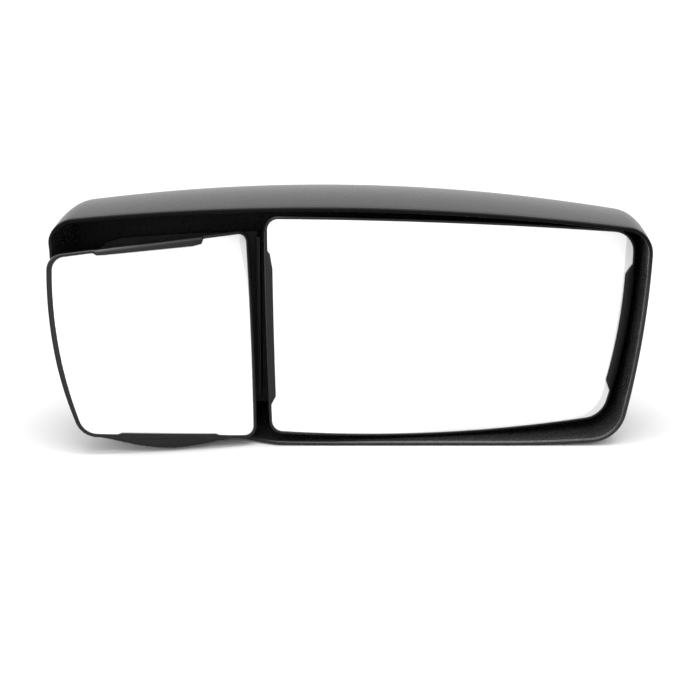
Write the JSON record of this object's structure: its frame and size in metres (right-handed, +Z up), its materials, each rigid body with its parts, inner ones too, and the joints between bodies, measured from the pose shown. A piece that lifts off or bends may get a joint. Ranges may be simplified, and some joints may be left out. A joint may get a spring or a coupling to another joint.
{
  "type": "towing mirror head",
  "caption": "Towing mirror head: a deep black housing with a powered main glass, a hand-set convex spotter beside it, and rear tube clamps.",
  "frame": {"origin": "bottom centre of the bounding box, in the plane of the flat the head stands on", "axes": "+X to the right as seen from in front of the glasses, +Y back through the housing to the clamps, +Z up"},
  "size_m": [0.4584, 0.1834, 0.191],
  "materials": {
    "housing_plastic": "fine-grained black moulding",
    "frame_nylon": "black glass-filled nylon",
    "carrier_plastic": "satin black moulding",
    "mirror": "silvered glass",
    "pad": "dark adhesive foam and heater film",
    "actuator_case": "dark moulded case",
    "natural_nylon": "natural nylon",
    "brass": "machined",
    "zinc_steel": "zinc plated",
    "cast_bracket": "die casting with black powder coat",
    "rubber": "moulded rubber"
  },
  "bodies": {
    "head": {"housing_shell": "housing_plastic", "support_frame": "frame_nylon", "mount_bracket": "cast_bracket", "tube_clamp_cap_left": "cast_bracket", "tube_clamp_cap_right": "cast_bracket", "actuator_front_case": "actuator_case", "actuator_rear_case": "actuator_case", "tilt_motor": "zinc_steel", "pan_motor": "zinc_steel", "tilt_worm": "brass", "pan_worm": "brass", "harness_socket": "natural_nylon", "harness_grommet": "rubber", "spotter_pivot_base": "carrier_plastic", "frame_screw_1": "zinc_steel", "frame_screw_2": "zinc_steel", "frame_screw_3": "zinc_steel", "frame_screw_4": "zinc_steel", "frame_screw_5": "zinc_steel", "frame_screw_6": "zinc_steel", "bracket_bolt_1": "zinc_steel", "bracket_bolt_2": "zinc_steel", "bracket_bolt_3": "zinc_steel", "bracket_bolt_4": "zinc_steel", "clamp_bolt_1": "zinc_steel", "clamp_bolt_2": "zinc_steel", "clamp_bolt_3": "zinc_steel", "clamp_bolt_4": "zinc_steel", "actuator_screw_1": "zinc_steel", "actuator_screw_2": "zinc_steel", "actuator_screw_3": "zinc_steel", "actuator_screw_4": "zinc_steel", "spotter_base_screw_1": "zinc_steel", "spotter_base_screw_2": "zinc_steel", "spotter_base_screw_3": "zinc_steel"},
    "main_gimbal": {"gimbal_ring": "carrier_plastic"},
    "main_mirror": {"main_glass_carrier": "carrier_plastic", "main_glass": "mirror", "heater_pad": "pad"},
    "tilt_screw": {"tilt_jackscrew": "zinc_steel"},
    "pan_screw": {"pan_jackscrew": "zinc_steel"},
    "tilt_nut": {"tilt_drive_nut": "natural_nylon"},
    "pan_nut": {"pan_drive_nut": "natural_nylon"},
    "spotter_gimbal": {"spotter_swivel_cross": "carrier_plastic"},
    "spotter_mirror": {"spotter_carrier": "carrier_plastic", "spotter_glass": "mirror", "spotter_adhesive_pad": "pad"}
  },
  "joints": [
    {"name": "main_tilt", "type": "hinge", "parent": "head", "child": "main_gimbal", "pos_m": [0.075, -0.0372, 0.093], "axis": [1, 0, 0], "range_deg": [-7.5, 7.5]},
    {"name": "main_pan", "type": "hinge", "parent": "main_gimbal", "child": "main_mirror", "pos_m": [0.075, -0.0372, 0.093], "axis": [0, 0, 1], "range_deg": [-14.6, 1]},
    {"name": "tilt_screw_slide", "type": "slide", "parent": "head", "child": "tilt_screw", "axis": [0, 1, 0], "range_m": [-0.0048, 0.0048]},
    {"name": "pan_screw_slide", "type": "slide", "parent": "head", "child": "pan_screw", "axis": [0, 1, 0], "range_m": [-0.0092, 0.0007]},
    {"name": "tilt_nut_turn", "type": "hinge", "parent": "head", "child": "tilt_nut", "pos_m": [0.075, -0.0122, 0.057], "axis": [0, 1, 0], "range_deg": [-345, 345]},
    {"name": "pan_nut_turn", "type": "hinge", "parent": "head", "child": "pan_nut", "pos_m": [0.111, -0.0122, 0.093], "axis": [0, 1, 0], "range_deg": [-50, 665]},
    {"name": "spotter_pan", "type": "hinge", "parent": "head", "child": "spotter_gimbal", "pos_m": [-0.1546, -0.0538, 0.0802], "axis": [0, 0, 1], "range_deg": [-2.5, 5]},
    {"name": "spotter_tilt", "type": "hinge", "parent": "spotter_gimbal", "child": "spotter_mirror", "pos_m": [-0.1546, -0.0538, 0.0802], "axis": [-0.9816, -0.1908, 0], "range_deg": [-1.5, 3.5]}
  ],
  "couplings": [
    {"joint": "tilt_screw_slide", "follows": "main_tilt", "m_per_rad": 0.036},
    {"joint": "pan_screw_slide", "follows": "main_pan", "m_per_rad": 0.0358},
    {"joint": "tilt_nut_turn", "follows": "main_tilt", "ratio": -45.24},
    {"joint": "pan_nut_turn", "follows": "main_pan", "ratio": -45.24}
  ]
}
